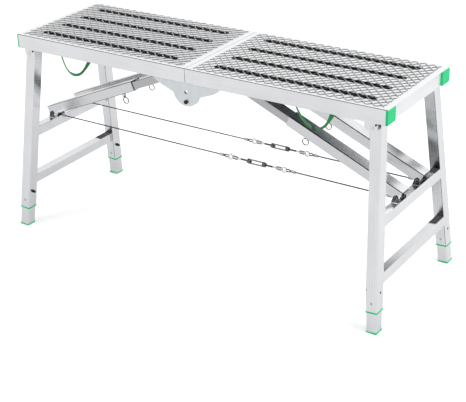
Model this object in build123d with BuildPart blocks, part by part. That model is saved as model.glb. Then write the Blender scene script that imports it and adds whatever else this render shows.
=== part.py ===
"""Folding work platform bench: two hinged deck halves on two splayed leg frames.

Millimetres, +Z up. The origin is on the floor under the middle of the deck, +X runs along the
platform, -Y is the front. Every piece is drawn for the right front quarter and mirrored to its
own place.
"""

import os
from math import cos, radians, sin, tan

from build123d import *

os.makedirs("parts", exist_ok=True)

# ---------------------------------------------------------------- driving dimensions
platform_height = 700.0
deck_length = 1400.0
deck_width = 418.0
seam_gap = 1.0              # from the middle plane to each half

# deck panel, mesh and side rails
sheet = 1.5
strand_width = 3.4
strand_thickness = 1.0
diamond = 30.3              # diagonal of one square mesh diamond
mesh_margin_seam = 21.0
mesh_margin_end = 22.0
mesh_margin_side = 14.0
recess_depth = 12.0           # of the dark troughs under the slots
recess_wall = 1.2
slot_width = 25.0
slot_pitch = 96.0
slot_start = 71.0           # from the middle plane
slot_end = 632.0
side_rail_height = 46.5
rail_depth = 50.0
rail_wall = 2.0
rail_lip = 20.0
cap_thickness = 6.5
cap_width = 51.0
cap_plug = 7.0

# centre hinge
hinge_pivot_z = 587.0
hinge_disc_z = 622.0
hinge_disc_radius = 50.0
hinge_plate = 4.0
hinge_arm = 128.0
hinge_bolt = 8.0

# leg frames
leg_pivot_x = 652.0
leg_pivot_z = 635.0
leg_lean = 3.96             # degrees, outwards along the platform
leg_spread = 0.1262         # sideways run per unit of leg length
leg_pivot_y = 175.9
leg_depth = 38.0
leg_width = 40.0
leg_wall = 1.5
leg_inner_face = -14.0      # from the pivot, towards the middle
leg_top = 22.0              # above the pivot
leg_bottom_z = 69.5
leg_bolt = 8.0
rung_inset = 8.0
rung_depth = 29.5
upper_rung_z = (323.0, 358.0)
lower_rung_z = (147.0, 181.0)

# telescopic feet
foot_clearance = 0.3
foot_top_z = 216.0
foot_extend = 30.0
foot_retract = 45.0
pad_flange = 4.5
pad_plug = 12.0
pad_proud = 0.6
collar_height = 4.5
collar_proud = 0.8
lock_pin_z = 127.0
stop_rivet_z = 94.0
lock_pin = 8.0

# telescopic braces
brace_pivot_x = 36.0
brace_pivot_z = 660.0
brace_slope = 23.06         # degrees
brace_y = 72.5
brace_outer_width = 48.0
brace_outer_height = 34.0
brace_inner_width = 42.0
brace_inner_height = 28.0
brace_wall = 2.0
brace_joint = 291.0         # where the outer tube starts, along the brace
brace_inner_end = 440.0
brace_end = 716.0
brace_retract = 90.0
brace_pin_at = 364.0
brace_pin = 6.0
ring_radius = 11.0
ring_wire = 2.4
hook_pin_x = 680.0
hook_pin_z = 374.0
hook_pin = 10.0

# wire ties and turnbuckles
tie_z = 364.0
wire = 4.0
turnbuckle_start = 60.0
turnbuckle_end = 286.0
turnbuckle_body = (138.0, 206.0)
eye_bolt = 6.0

# carrying straps
strap_from = 397.0
strap_to = 519.0
strap_drop = 57.0
strap_width = 20.0
strap_thickness = 2.5

# ---------------------------------------------------------------- derived places
half_length = deck_length / 2
half_width = deck_width / 2
sheet_top = platform_height - 2 * strand_thickness
rail_top = sheet_top - sheet
rail_bottom = rail_top - side_rail_height
rail_end = half_length - cap_thickness
rail_inner_y = half_width - rail_depth
wall_inner_y = half_width - rail_wall
lean = radians(leg_lean)
leg_plane = Plane(
    origin=(leg_pivot_x, 0, leg_pivot_z),
    x_dir=(0, 1, 0),
    z_dir=(cos(lean), 0, sin(lean)),
)
slope = radians(brace_slope)
brace_plane = Plane(
    origin=(brace_pivot_x, -brace_y, brace_pivot_z),
    x_dir=(0, 1, 0),
    z_dir=(cos(slope), 0, -sin(slope)),
)

ear_rivets = {"left": (leg_pivot_x - 18.3, leg_pivot_x - 3.3), "right": (leg_pivot_x + 12,)}
# small round forms are drawn with flat sides, which keeps the meshes light
bar_sides = 10
ring_sides = 16
rivet_sides = 8
made = []


def finish(part, name):
    """Label one piece, write it and print its size."""
    part.label = name
    export_step(part, f"parts/{name}.step")
    made.append(name)


def placed(part, side, row="front"):
    """Mirror a piece drawn for the right front quarter to its own quarter."""
    if side == "left":
        part = mirror(part, about=Plane.YZ)
    if row == "rear":
        part = mirror(part, about=Plane.XZ)
    return part


def front_plane(distance):
    """An XZ plane at a distance in front of the middle; extruding runs to the front."""
    return Plane.XZ.offset(distance)


def front_bar(x, z, start, length, radius, sides=0):
    """A short bar that runs to the front from a distance, inside the caller's part.

    Without a number of sides it is round, as the heads of the centre bolts are.
    """
    with BuildSketch(front_plane(start)) as outline:
        with Locations((x, z)):
            if sides:
                RegularPolygon(radius, sides)
            else:
                Circle(radius)
    extrude(outline.sketch, amount=length)


def wire_ring(x, z, radius, thickness):
    """An upright ring of wire in the front brace's plane."""
    with BuildPart() as ring:
        with BuildSketch(front_plane(brace_y - thickness / 2)):
            with Locations((x, z)):
                RegularPolygon(radius + thickness / 2, ring_sides)
                RegularPolygon(radius - thickness / 2, ring_sides, mode=Mode.SUBTRACT)
        extrude(amount=thickness)
    return ring.part


def along_leg(z):
    """Height above the floor turned into the distance along the leg from its pivot."""
    return (z - leg_pivot_z) / cos(lean)


def leg_y(v):
    """Sideways place of the leg's centre line, at a distance along the leg."""
    return -(leg_pivot_y - v * leg_spread)


def inner_ear_y():
    """Distance from the middle to the inner face of the forked leg bracket."""
    return leg_pivot_y - leg_width / 2 - 6.9


def leg_band(top, bottom, half):
    """Corners of a strip that follows the leg's centre line, in the leg frame's plane."""
    return (
        (leg_y(top) - half, top),
        (leg_y(bottom) - half, bottom),
        (leg_y(bottom) + half, bottom),
        (leg_y(top) + half, top),
    )


# ---------------------------------------------------------------- deck halves
def slot_corners(grow):
    """Corners of one long slot with cut corners, grown by a margin all round."""
    reach = (slot_end - slot_start) / 2 + grow
    half = slot_width / 2 + grow
    cut = half * 0.55
    return (
        (-reach, -half + cut), (-reach + cut, -half), (reach - cut, -half), (reach, -half + cut),
        (reach, half - cut), (reach - cut, half), (-reach + cut, half), (-reach, half - cut),
    )


def deck_panel():
    """Folded sheet with four long pressed troughs and turned down ends."""
    trough_floor = rail_top - recess_depth
    with BuildPart() as panel:
        with BuildSketch(Plane.XY.offset(rail_top)):
            with Locations(((seam_gap + half_length - 1) / 2, 0)):
                Rectangle(half_length - 1 - seam_gap, 2 * wall_inner_y)
        extrude(amount=sheet)
        for level, height, grow, mode in (
            (trough_floor, recess_depth, recess_wall, Mode.ADD),
            (trough_floor + recess_wall, recess_depth + 1, 0, Mode.SUBTRACT),
        ):
            with BuildSketch(Plane.XY.offset(level)):
                with Locations(((slot_start + slot_end) / 2, 0)):
                    with GridLocations(0, slot_pitch, 1, 4):
                        Polygon(*slot_corners(grow), align=None)
            extrude(amount=height, mode=mode)
        # end apron between the rails
        with BuildSketch(Plane.YZ.offset(rail_end - sheet)):
            with Locations((0, (rail_bottom + rail_top) / 2)):
                Rectangle(2 * (half_width - cap_width - 1), side_rail_height)
        extrude(amount=sheet)
        # apron along the seam, clear of the brace brackets
        seam_apron = 30.0
        with BuildSketch(Plane.YZ.offset(seam_gap)):
            with Locations((0, rail_top - seam_apron / 2)):
                Rectangle(2 * rail_inner_y - 2, seam_apron)
        extrude(amount=sheet)
    return panel.part


def mesh_layer(level, turn):
    """One layer of parallel flat strands, cut to the mesh's rectangle."""
    left, right = seam_gap + mesh_margin_seam, half_length - mesh_margin_end
    reach = half_width - mesh_margin_side
    strands = int((right - left + 2 * reach) / diamond) + 2
    with BuildPart() as layer:
        with BuildSketch(Plane.XY.offset(sheet_top + level * strand_thickness)):
            with Locations(((left + right) / 2, 0)):
                with GridLocations(diamond, 0, strands, 1):
                    Rectangle(3 * reach, strand_width, rotation=turn)
                Rectangle(right - left, 2 * reach, mode=Mode.INTERSECT)
        extrude(amount=strand_thickness)
    return layer.part


def deck_mesh():
    """Diamond mesh laid on the panel: every strand stays a solid of its own, as if welded."""
    lower, upper = mesh_layer(0, 45), mesh_layer(1, -45)
    return Compound(children=[*lower.solids(), *upper.solids()])


def side_rail():
    """Lipped channel, open to the inside, with the forked bracket that carries the leg."""
    outer_left, inner_left = leg_pivot_x - 26, leg_pivot_x - 17
    ear_right = leg_pivot_x + 17
    ear_bottom = leg_pivot_z - 8
    ear_back = inner_ear_y()
    bend = 1.2
    with BuildPart() as rail:
        with BuildSketch(Plane.YZ.offset(seam_gap)):
            with BuildLine():
                Polyline(
                    (-rail_inner_y, rail_top),
                    (-half_width + bend, rail_top),
                    (-half_width, rail_top - bend),
                    (-half_width, rail_bottom + bend),
                    (-half_width + bend, rail_bottom),
                    (-half_width + rail_lip, rail_bottom),
                    (-half_width + rail_lip, rail_bottom + rail_wall),
                    (-wall_inner_y, rail_bottom + rail_wall),
                    (-wall_inner_y, rail_top - rail_wall),
                    (-rail_inner_y, rail_top - rail_wall),
                    close=True,
                )
            make_face()
        extrude(amount=rail_end - seam_gap)
        # the lip stops short of the hinge plates and of the leg
        for start, stop in ((seam_gap, hinge_arm + 8), (outer_left - 8, rail_end)):
            with BuildSketch(Plane.XY.offset(rail_bottom)):
                with Locations(((start + stop) / 2, -wall_inner_y + rail_lip / 2)):
                    Rectangle(stop - start, rail_lip)
            extrude(amount=rail_wall, mode=Mode.SUBTRACT)
        # outer ear, flush with the rail, and inner ear on a saddle under the top flange
        for distance, ear_left, ear_top in (
            (wall_inner_y, outer_left, rail_bottom + 6),
            (ear_back, inner_left, rail_top - rail_wall),
        ):
            with BuildSketch(front_plane(distance)):
                with Locations(((ear_left + ear_right) / 2, (ear_bottom + ear_top) / 2)):
                    Rectangle(ear_right - ear_left, ear_top - ear_bottom)
                chamfer(vertices().group_by(Axis.Z)[0], 7)
            extrude(amount=rail_wall)
        with BuildSketch(Plane.XY.offset(rail_top - 2 * rail_wall)):
            with Locations(((inner_left + ear_right) / 2, -(ear_back + wall_inner_y) / 2)):
                Rectangle(ear_right - inner_left, wall_inner_y - ear_back)
        extrude(amount=rail_wall)
        with BuildSketch(front_plane(ear_back - 5)):
            with Locations((leg_pivot_x, leg_pivot_z)):
                RegularPolygon(leg_bolt / 2 + 0.1, bar_sides, major_radius=False)
        extrude(amount=half_width, mode=Mode.SUBTRACT)
    return rail.part


def rail_caps():
    """Plastic caps that close a front rail: a flanged one outside, a flat one at the hinge."""
    plug_gap = 0.3
    plug_front = wall_inner_y - plug_gap
    edge = 0.5
    with BuildPart() as caps:
        with BuildSketch(Plane.YZ.offset(rail_end)):
            with Locations((-(half_width - edge - cap_width / 2), (rail_bottom + rail_top - edge) / 2)):
                Rectangle(cap_width, rail_top - rail_bottom - edge)
            chamfer(vertices(), 2)
        extrude(amount=cap_thickness)
        chamfer(caps.faces().sort_by(Axis.X)[-1].edges(), 1)
        plug_low, plug_high = rail_bottom + rail_wall, rail_top - rail_wall - plug_gap
        with BuildSketch(Plane.YZ.offset(rail_end - cap_plug)):
            with Locations((-(plug_front + rail_inner_y) / 2, (plug_low + plug_high) / 2)):
                Rectangle(plug_front - rail_inner_y, plug_high - plug_low)
                Rectangle(plug_front - rail_inner_y - 6, plug_high - plug_low - 6, mode=Mode.SUBTRACT)
        extrude(amount=cap_plug)
        # flat cap at the hinge end, beside the hinge plates
        plate_gap = 14.0
        with BuildSketch(Plane.YZ.offset(seam_gap)):
            with Locations((-(half_width - plate_gap + rail_inner_y) / 2, (rail_bottom + plug_high) / 2)):
                Rectangle(half_width - plate_gap - rail_inner_y, plug_high - rail_bottom)
        extrude(amount=5)
    return caps.part


def cross_members():
    """Two shallow hat sections under the sheet; the inner one carries the brace brackets."""
    hat_height, hat_width, hat_flange = 10.0, 34.0, 8.0
    inner_reach = rail_inner_y - 0.5
    outer_reach = inner_ear_y() - 1
    ear = 3.0
    with BuildPart() as members:
        for middle, reach in (
            (brace_pivot_x + 4, inner_reach),
            (slot_end + 34, outer_reach),
        ):
            with BuildSketch(front_plane(-reach)):
                with BuildLine():
                    foot, top = hat_width / 2 + hat_flange, hat_width / 2
                    low, high = rail_top - hat_height, rail_top
                    Polyline(
                        (middle - min(foot, middle - 3.5), high),
                        (middle - min(foot, middle - 3.5), high - sheet),
                        (middle - top, high - sheet),
                        (middle - top + 3, low),
                        (middle + top - 3, low),
                        (middle + top, high - sheet),
                        (min(middle + foot, rail_end - 3), high - sheet),
                        (min(middle + foot, rail_end - 3), high),
                        (middle + top - 2, high),
                        (middle + top - 5, low + sheet),
                        (middle - top + 5, low + sheet),
                        (middle - top + 2, high),
                        close=True,
                    )
                make_face()
            extrude(amount=2 * reach)
        # bracket ears on both sides of each brace
        ear_low = brace_pivot_z - 14
        gap = brace_inner_width / 2 + 1
        for row in (-1, 1):
            for distance in (row * brace_y - gap - ear, row * brace_y + gap):
                with BuildSketch(front_plane(distance)):
                    with Locations((brace_pivot_x + 1, (ear_low + rail_top - hat_height) / 2)):
                        Rectangle(30, rail_top - hat_height - ear_low)
                    chamfer(vertices().group_by(Axis.Z)[0], 8)
                    with Locations((brace_pivot_x, brace_pivot_z)):
                        RegularPolygon(
                            leg_bolt / 2 + 0.1, bar_sides, major_radius=False, mode=Mode.SUBTRACT
                        )
                extrude(amount=ear)
    return members.part


# ---------------------------------------------------------------- centre hinge
def hinge_plate_part(layer, spacer):
    """Front hinge plate in its own layer: round disc below, arm riveted inside the rail.

    layer is the distance from the middle to the plate's back, spacer the length of the
    rivets' collars between the plate and the rail wall.
    """
    arm_top = rail_top - 8
    disc_sides = 32
    with BuildPart() as plate:
        with BuildSketch(front_plane(layer)):
            with Locations((0, hinge_disc_z)):
                RegularPolygon(hinge_disc_radius, disc_sides)
            with BuildLine():
                Polyline(
                    (0, hinge_disc_z + hinge_disc_radius),
                    (hinge_arm * 0.4, arm_top),
                    (hinge_arm - 6, arm_top),
                    (hinge_arm, arm_top - 6),
                    (hinge_arm, rail_bottom - 1),
                    (hinge_arm - 8, rail_bottom - 10),
                    (hinge_arm - 26, rail_bottom - 21),
                    (hinge_arm - 56, rail_bottom - 32),
                    (hinge_disc_radius, hinge_disc_z - 13),
                    (0, hinge_disc_z),
                    close=True,
                )
            make_face()
            with Locations((0, hinge_disc_z - 2)):
                RegularPolygon(6.2, ring_sides, mode=Mode.SUBTRACT)
            with Locations((0, hinge_pivot_z)):
                RegularPolygon(
                    hinge_bolt / 2 + 0.05, bar_sides, major_radius=False, mode=Mode.SUBTRACT
                )
        extrude(amount=hinge_plate)
        # rivets through the rail wall, with collars where the plate stands off
        rivet_z = (rail_bottom + arm_top) / 2 + 2
        for x in (hinge_arm * 0.52, hinge_arm * 0.88):
            if spacer > 0:
                with BuildSketch(front_plane(layer + hinge_plate)):
                    with Locations((x, rivet_z)):
                        RegularPolygon(7, rivet_sides)
                extrude(amount=spacer)
            with BuildSketch(front_plane(layer - 2)):
                with Locations((x, rivet_z)):
                    RegularPolygon(5, rivet_sides)
            extrude(amount=2)
    return plate.part


def pivot_bolts(ear_rivets, with_centre):
    """Bolts of one front half: leg and brace pivots, bracket rivets, and the centre hinge bolt."""
    head, nut = leg_bolt * 0.85, leg_bolt * 0.78
    inner_ear = inner_ear_y()
    leg_face = leg_pivot_y + leg_width / 2 + 1.6
    back = inner_ear - 6
    gap = brace_inner_width / 2 + 4
    with BuildPart() as bolts:
        front_bar(leg_pivot_x, leg_pivot_z, back, half_width - back, leg_bolt / 2, bar_sides)
        front_bar(leg_pivot_x, leg_pivot_z, half_width, 2.5, head * 0.8, ring_sides)
        front_bar(leg_pivot_x, leg_pivot_z, leg_face, wall_inner_y - leg_face, leg_bolt * 0.9, bar_sides)
        front_bar(leg_pivot_x, leg_pivot_z, inner_ear - 5, 5, nut, 6)
        for x in ear_rivets:
            front_bar(x, rail_bottom - 3.5, half_width, 2, 3, rivet_sides)
        front_bar(brace_pivot_x, brace_pivot_z, brace_y - gap - 5, 2 * gap + 9, leg_bolt / 2, bar_sides)
        front_bar(brace_pivot_x, brace_pivot_z, brace_y - gap - 5, 5, nut, 6)
        front_bar(brace_pivot_x, brace_pivot_z, brace_y + gap, 4, head, 6)
        if with_centre:
            start, stop = left_layer, right_layer + hinge_plate
            front_bar(0, hinge_pivot_z, start - 7, stop - start + 12, hinge_bolt / 2, bar_sides)
            front_bar(0, hinge_pivot_z, start - 7, 6.8, hinge_bolt * 0.8, 6)
            front_bar(0, hinge_pivot_z, stop + 0.2, 4.5, hinge_bolt * 0.8)
    return bolts.part


# ---------------------------------------------------------------- leg frames
def leg():
    """Rectangular leg tube that leans outwards both ways."""
    bottom = along_leg(leg_bottom_z)
    half = leg_width / 2
    with BuildPart() as tube:
        with BuildSketch(leg_plane.offset(leg_inner_face)):
            Polygon(*leg_band(leg_top, bottom, half), align=None)
        extrude(amount=leg_depth)
        chamfer(tube.edges().filter_by(lambda e: e.length > 400), 1.5)
        with BuildSketch(leg_plane.offset(leg_inner_face + leg_wall)):
            Polygon(*leg_band(leg_top + 1, bottom - 1, half - leg_wall), align=None)
        extrude(amount=leg_depth - 2 * leg_wall, mode=Mode.SUBTRACT)
        with BuildSketch(front_plane(leg_pivot_y - leg_width)):
            with Locations((leg_pivot_x, leg_pivot_z)):
                RegularPolygon(leg_bolt / 2 + 0.05, bar_sides, major_radius=False)
        extrude(amount=2 * leg_width, mode=Mode.SUBTRACT)
        # holes of the foot's lock pin, through both walls
        pin_v = along_leg(lock_pin_z)
        with BuildSketch(leg_plane.offset(leg_inner_face - 1)):
            with Locations((leg_y(pin_v), pin_v)):
                RegularPolygon(lock_pin / 2 + 0.4, bar_sides)
        extrude(amount=leg_depth + 2, mode=Mode.SUBTRACT)
        # rivet in the front wall that stops the foot
        rivet_face = half - leg_y(along_leg(stop_rivet_z))
        front_bar(leg_axis_x(stop_rivet_z), stop_rivet_z, rivet_face - leg_wall / 2, 1.6, 2.5, rivet_sides)
    return tube.part


def leg_axis_x(z):
    """Place of the leg's centre line along the platform, at a height."""
    middle = leg_inner_face + leg_depth / 2
    return leg_pivot_x + (leg_pivot_z - z) * tan(lean) + middle / cos(lean)


def rung(heights, with_hooks):
    """Flat sided tube between the legs; the upper one carries the hooks of braces and ties."""
    low, high = along_leg(heights[0]), along_leg(heights[1])
    inner = leg_inner_face + rung_inset

    def trapezium(inset):
        """Corners of the rung between the legs, drawn in from its edges by inset."""
        top, bottom = high - inset, low + inset
        top_reach, bottom_reach = (-leg_y(v) - leg_width / 2 for v in (top, bottom))
        return (
            (-top_reach, top),
            (-bottom_reach, bottom),
            (bottom_reach, bottom),
            (top_reach, top),
        )

    with BuildPart() as bar:
        with BuildSketch(leg_plane.offset(inner)):
            Polygon(*trapezium(0), align=None)
        extrude(amount=rung_depth)
        chamfer(bar.edges().filter_by(Axis.Y), 1.5)
        with BuildSketch(leg_plane.offset(inner + leg_wall)):
            Polygon(*trapezium(leg_wall), align=None)
        extrude(amount=rung_depth - 2 * leg_wall, mode=Mode.SUBTRACT)
        if with_hooks:
            reach = brace_outer_width / 2 + 0.6
            ear = 3.0
            for row in (-1, 1):
                for start in (row * brace_y - reach - ear, row * brace_y + reach):
                    with BuildSketch(front_plane(start)):
                        with BuildLine():
                            at = leg_plane.from_local_coords
                            corners = [at(Vector(0, v, n)) for v, n in (
                                (high - 1, inner + 0.5), (high - 1, inner + 26.5),
                                (high + 20, inner + 23), (high + 24, inner + 16),
                                (high + 20, inner + 9),
                            )]
                            Polyline(*[(c.X, c.Z) for c in corners], close=True)
                        make_face()
                    extrude(amount=ear)
                with BuildSketch(front_plane(row * brace_y - reach - ear)):
                    with Locations((hook_pin_x, hook_pin_z)):
                        RegularPolygon(hook_pin / 2, bar_sides)
                extrude(amount=2 * (reach + ear))
                # lug for the tie wire, under the brace
                with BuildSketch(front_plane(row * brace_y - 2)):
                    with BuildLine():
                        at = leg_plane.from_local_coords
                        corners = [at(Vector(0, v, n)) for v, n in (
                            (high - 1, inner + 0.5), (high - 1, inner + 12),
                            (high + 9, inner + 8), (high + 9, inner + 0.5),
                        )]
                        Polyline(*[(c.X, c.Z) for c in corners], close=True)
                    make_face()
                extrude(amount=4)
    return bar.part


def leg_collar():
    """Plastic ring under the lower end of a front leg, round the foot tube."""
    low, high = along_leg(leg_bottom_z - collar_height), along_leg(leg_bottom_z)
    tube_half, tube_face, tube_depth = foot_section()
    with BuildPart() as collar:
        with BuildSketch(leg_plane.offset(leg_inner_face - collar_proud)):
            Polygon(*leg_band(high, low, leg_width / 2 + collar_proud), align=None)
        extrude(amount=leg_depth + 2 * collar_proud)
        chamfer(collar.edges().filter_by(lambda e: e.length < collar_height + 1), 1.5)
        with BuildSketch(leg_plane.offset(tube_face - 0.3)):
            Polygon(*leg_band(high + 1, low - 1, tube_half + 0.3), align=None)
        extrude(amount=tube_depth + 0.6, mode=Mode.SUBTRACT)
    return collar.part


# ---------------------------------------------------------------- feet
def foot_section():
    """Half width, inner face and depth of the foot tube in the leg frame's plane."""
    half = leg_width / 2 - leg_wall - foot_clearance
    face = leg_inner_face + leg_wall + foot_clearance
    depth = leg_depth - 2 * leg_wall - 2 * foot_clearance
    return half, face, depth


def foot_tube():
    """Inner tube of a front leg, slotted on both sides for the lock pin."""
    half, face, depth = foot_section()
    top, bottom = along_leg(foot_top_z), along_leg(pad_flange)
    pin_v = along_leg(lock_pin_z)
    slot_half = lock_pin / 2 + 0.2
    slot_top = pin_v + foot_extend + slot_half
    slot_bottom = pin_v - foot_retract - slot_half
    with BuildPart() as tube:
        with BuildSketch(leg_plane.offset(face)):
            Polygon(*leg_band(top, bottom, half), align=None)
        extrude(amount=depth)
        chamfer(tube.edges().filter_by(lambda e: e.length > 200), 1.5)
        with BuildSketch(leg_plane.offset(face + leg_wall)):
            Polygon(*leg_band(top + 1, bottom - 1, half - leg_wall), align=None)
        extrude(amount=depth - 2 * leg_wall, mode=Mode.SUBTRACT)
        # the slots follow the tube
        with BuildSketch(leg_plane.offset(face - 1)):
            Polygon(*leg_band(slot_top, slot_bottom, slot_half), align=None)
        extrude(amount=depth + 2, mode=Mode.SUBTRACT)
    return tube.part


def foot_pad():
    """Plug in the end of the foot tube, with a flange cut level with the floor."""
    half, face, depth = foot_section()
    seat = along_leg(pad_flange)
    plug_gap = leg_wall + 0.2
    with BuildPart() as pad:
        with BuildSketch(leg_plane.offset(face - pad_proud)):
            Polygon(*leg_band(seat, along_leg(0) - 4, half + pad_proud), align=None)
        extrude(amount=depth + 2 * pad_proud)
        with BuildSketch(leg_plane.offset(face + plug_gap)):
            Polygon(*leg_band(seat + pad_plug, seat - 1, half - plug_gap), align=None)
        extrude(amount=depth - 2 * plug_gap)
        split(bisect_by=Plane.XY, keep=Keep.TOP)
    return pad.part


def lock_pin_part():
    """Spring pin through a front leg: shank, guide collar and knob on the inner face."""
    pin_v = along_leg(lock_pin_z)
    face = leg_inner_face
    with BuildPart() as pin:
        for start, stop, radius in (
            (face + leg_depth - 0.3, face - 0.4, lock_pin / 2),
            (face - 0.4, face - 3, lock_pin / 2 + 1.5),
            (face - 3, face - 9.5, lock_pin / 2 + 0.5),
        ):
            with BuildSketch(leg_plane.offset(stop)):
                with Locations((leg_y(pin_v), pin_v)):
                    RegularPolygon(radius, bar_sides)
            extrude(amount=start - stop)
        chamfer(pin.faces().sort_by(Axis.X)[0].edges(), 1)
    return pin.part


# ---------------------------------------------------------------- braces
def under_brace(along, height):
    """Plane on the underside of a brace tube, at a place along it, that faces down."""
    return Plane(
        origin=brace_plane.from_local_coords((0, -height / 2, along)),
        x_dir=brace_plane.z_dir,
        z_dir=-brace_plane.y_dir,
    )


def brace_inner():
    """Upper brace tube: pivots under the deck and slides in the outer tube."""
    start = -12.0
    pin_slot = brace_pin + 0.5
    with BuildPart() as tube:
        with BuildSketch(brace_plane.offset(start)):
            Rectangle(brace_inner_width, brace_inner_height)
        extrude(amount=brace_inner_end - start)
        chamfer(tube.edges().filter_by(lambda e: e.length > 400), 1.5)
        with BuildSketch(brace_plane.offset(start - 1)):
            Rectangle(brace_inner_width - 2 * brace_wall, brace_inner_height - 2 * brace_wall)
        extrude(amount=brace_inner_end - start + 2, mode=Mode.SUBTRACT)
        with BuildSketch(front_plane(brace_y - brace_inner_width)):
            with Locations((brace_pivot_x, brace_pivot_z)):
                RegularPolygon(leg_bolt / 2 + 0.05, bar_sides, major_radius=False)
        extrude(amount=2 * brace_inner_width, mode=Mode.SUBTRACT)
        # adjusting slot in the lower wall
        slot_from = brace_pin_at - brace_retract - pin_slot / 2
        slot_to = brace_pin_at + pin_slot / 2
        with BuildSketch(under_brace((slot_from + slot_to) / 2, brace_inner_height)):
            Rectangle(slot_to - slot_from, pin_slot)
        extrude(amount=-brace_wall - 1, mode=Mode.SUBTRACT)
    return tube.part


def brace_outer():
    """Lower brace tube: an open notch at its end drops over the hook pin of the rung."""
    with BuildPart() as tube:
        with BuildSketch(brace_plane.offset(brace_joint)):
            Rectangle(brace_outer_width, brace_outer_height)
        extrude(amount=brace_end - brace_joint)
        chamfer(tube.edges().filter_by(lambda e: e.length > 400), 1.8)
        with BuildSketch(brace_plane.offset(brace_joint - 1)):
            Rectangle(brace_outer_width - 2 * brace_wall, brace_outer_height - 2 * brace_wall)
        extrude(amount=brace_end - brace_joint + 2, mode=Mode.SUBTRACT)
        # notch over the hook pin, flared towards the middle
        clear = hook_pin / 2 + 0.4
        with BuildSketch(front_plane(brace_y - brace_outer_width)):
            with Locations((hook_pin_x, hook_pin_z)):
                RegularPolygon(clear, bar_sides, major_radius=False)
            with BuildLine():
                Polyline(
                    (hook_pin_x + clear, hook_pin_z),
                    (hook_pin_x + clear, hook_pin_z - 30),
                    (hook_pin_x - clear - 34, hook_pin_z - 30),
                    (hook_pin_x - clear - 2, hook_pin_z + 2),
                    close=True,
                )
            make_face()
        extrude(amount=2 * brace_outer_width, mode=Mode.SUBTRACT)
        # pull pin: round holes in both walls and a guide boss below
        with BuildSketch(under_brace(brace_pin_at, brace_outer_height)):
            RegularPolygon(7, bar_sides)
        extrude(amount=9)
        with BuildSketch(under_brace(brace_pin_at, brace_outer_height).offset(-brace_outer_height - 1)):
            RegularPolygon(brace_pin / 2 + 0.2, bar_sides, major_radius=False)
        extrude(amount=brace_outer_height + 12, mode=Mode.SUBTRACT)
        # rivet stop behind the tube mouth
        with BuildSketch(under_brace(brace_joint + 14, brace_outer_height)):
            RegularPolygon(3.5, bar_sides)
        extrude(amount=3)
    return tube.part


def brace_pull_pin():
    """Spring pull pin of a brace: shank, shoulder and a ring to pull on."""
    below = under_brace(brace_pin_at, brace_outer_height)
    tip = -(brace_wall + (brace_outer_height - brace_inner_height) / 2) - 1.5
    boss = 9.0
    with BuildPart() as pin:
        for start, stop, radius in (
            (tip, boss + 4, brace_pin / 2),
            (boss + 0.3, boss + 5.3, brace_pin / 2 + 1.5),
        ):
            with BuildSketch(below.offset(start)):
                RegularPolygon(radius, bar_sides)
            extrude(amount=stop - start)
        middle = below.from_local_coords((0, 0, boss + 6 + ring_radius))
        add(wire_ring(middle.X, middle.Z, ring_radius, ring_wire))
    return pin.part


# ---------------------------------------------------------------- wire ties
def tie_plane(x):
    """Plane across the front tie at a place along it."""
    return Plane(origin=(x, -brace_y, tie_z), x_dir=(0, 1, 0), z_dir=(1, 0, 0))


def tie_wire(start, stop):
    """Straight tight wire of one tie, front row."""
    with BuildPart() as tube:
        with BuildSketch(tie_plane(start)):
            RegularPolygon(wire / 2, 8)
        extrude(amount=stop - start)
    return tube.part


def eye_bolt_pair():
    """The two eye bolts of the front turnbuckle."""
    eye_radius, eye_wire = 8.5, 4.0
    with BuildPart() as eyes:
        for end, boss, inward in (
            (turnbuckle_start, turnbuckle_body[0], 1),
            (turnbuckle_end, turnbuckle_body[1], -1),
        ):
            ring_x = end + inward * (eye_radius + eye_wire / 2)
            add(wire_ring(ring_x, tie_z, eye_radius, eye_wire))
            shank_from = ring_x + inward * (eye_radius + 0.5)
            shank_to = boss + inward * 14
            with BuildSketch(tie_plane(min(shank_from, shank_to))):
                RegularPolygon(eye_bolt / 2, bar_sides)
            extrude(amount=abs(shank_to - shank_from))
    return eyes.part


def turnbuckle():
    """Open frame body of the front turnbuckle: two threaded bosses joined by two side bars."""
    start, stop = turnbuckle_body
    boss_length, boss_radius = 10.0, 7.5
    bar, spread = 4.0, 7.5
    with BuildPart() as body:
        for end in (start, stop - boss_length):
            with BuildSketch(tie_plane(end)):
                RegularPolygon(boss_radius, ring_sides)
            extrude(amount=boss_length)
        with BuildSketch(tie_plane(start + 2)):
            with Locations((0, spread - bar / 4), (0, -spread + bar / 4)):
                Rectangle(bar + 1.5, bar)
            chamfer(vertices(), 1)
        extrude(amount=stop - start - 4)
        with BuildSketch(tie_plane(start - 1)):
            RegularPolygon(eye_bolt / 2 + 0.05, bar_sides, major_radius=False)
        extrude(amount=stop - start + 2, mode=Mode.SUBTRACT)
    return body.part


# ---------------------------------------------------------------- carrying straps
def hanging_curve(reach, drop):
    """Points of webbing that hangs from both ends of a span, from left to right."""
    steps = 12
    middle = (strap_from + strap_to) / 2
    shares = [2 * step / steps - 1 for step in range(steps + 1)]
    return [(middle + reach * share, rail_bottom - drop * (1 - share**2)) for share in shares]


def strap():
    """Webbing loop that hangs under the front rail."""
    reach = (strap_to - strap_from) / 2
    y = half_width - rail_lip / 2
    outer = hanging_curve(reach, strap_drop)
    inner = hanging_curve(reach - strap_thickness, strap_drop - strap_thickness)
    with BuildPart() as band:
        with BuildSketch(front_plane(y - strap_width / 2)):
            Polygon(*outer, *reversed(inner), align=None)
        extrude(amount=strap_width)
    return band.part


# ---------------------------------------------------------------- make every piece
right_layer = wall_inner_y - 0.4 - hinge_plate      # back of the right plates
left_layer = right_layer - 0.2 - hinge_plate        # back of the left plates


def both_rows(part, side):
    """Front piece and its rear twin, as two solids of one node."""
    return Compound(children=[placed(part, side), placed(part, side, "rear")])


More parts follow.
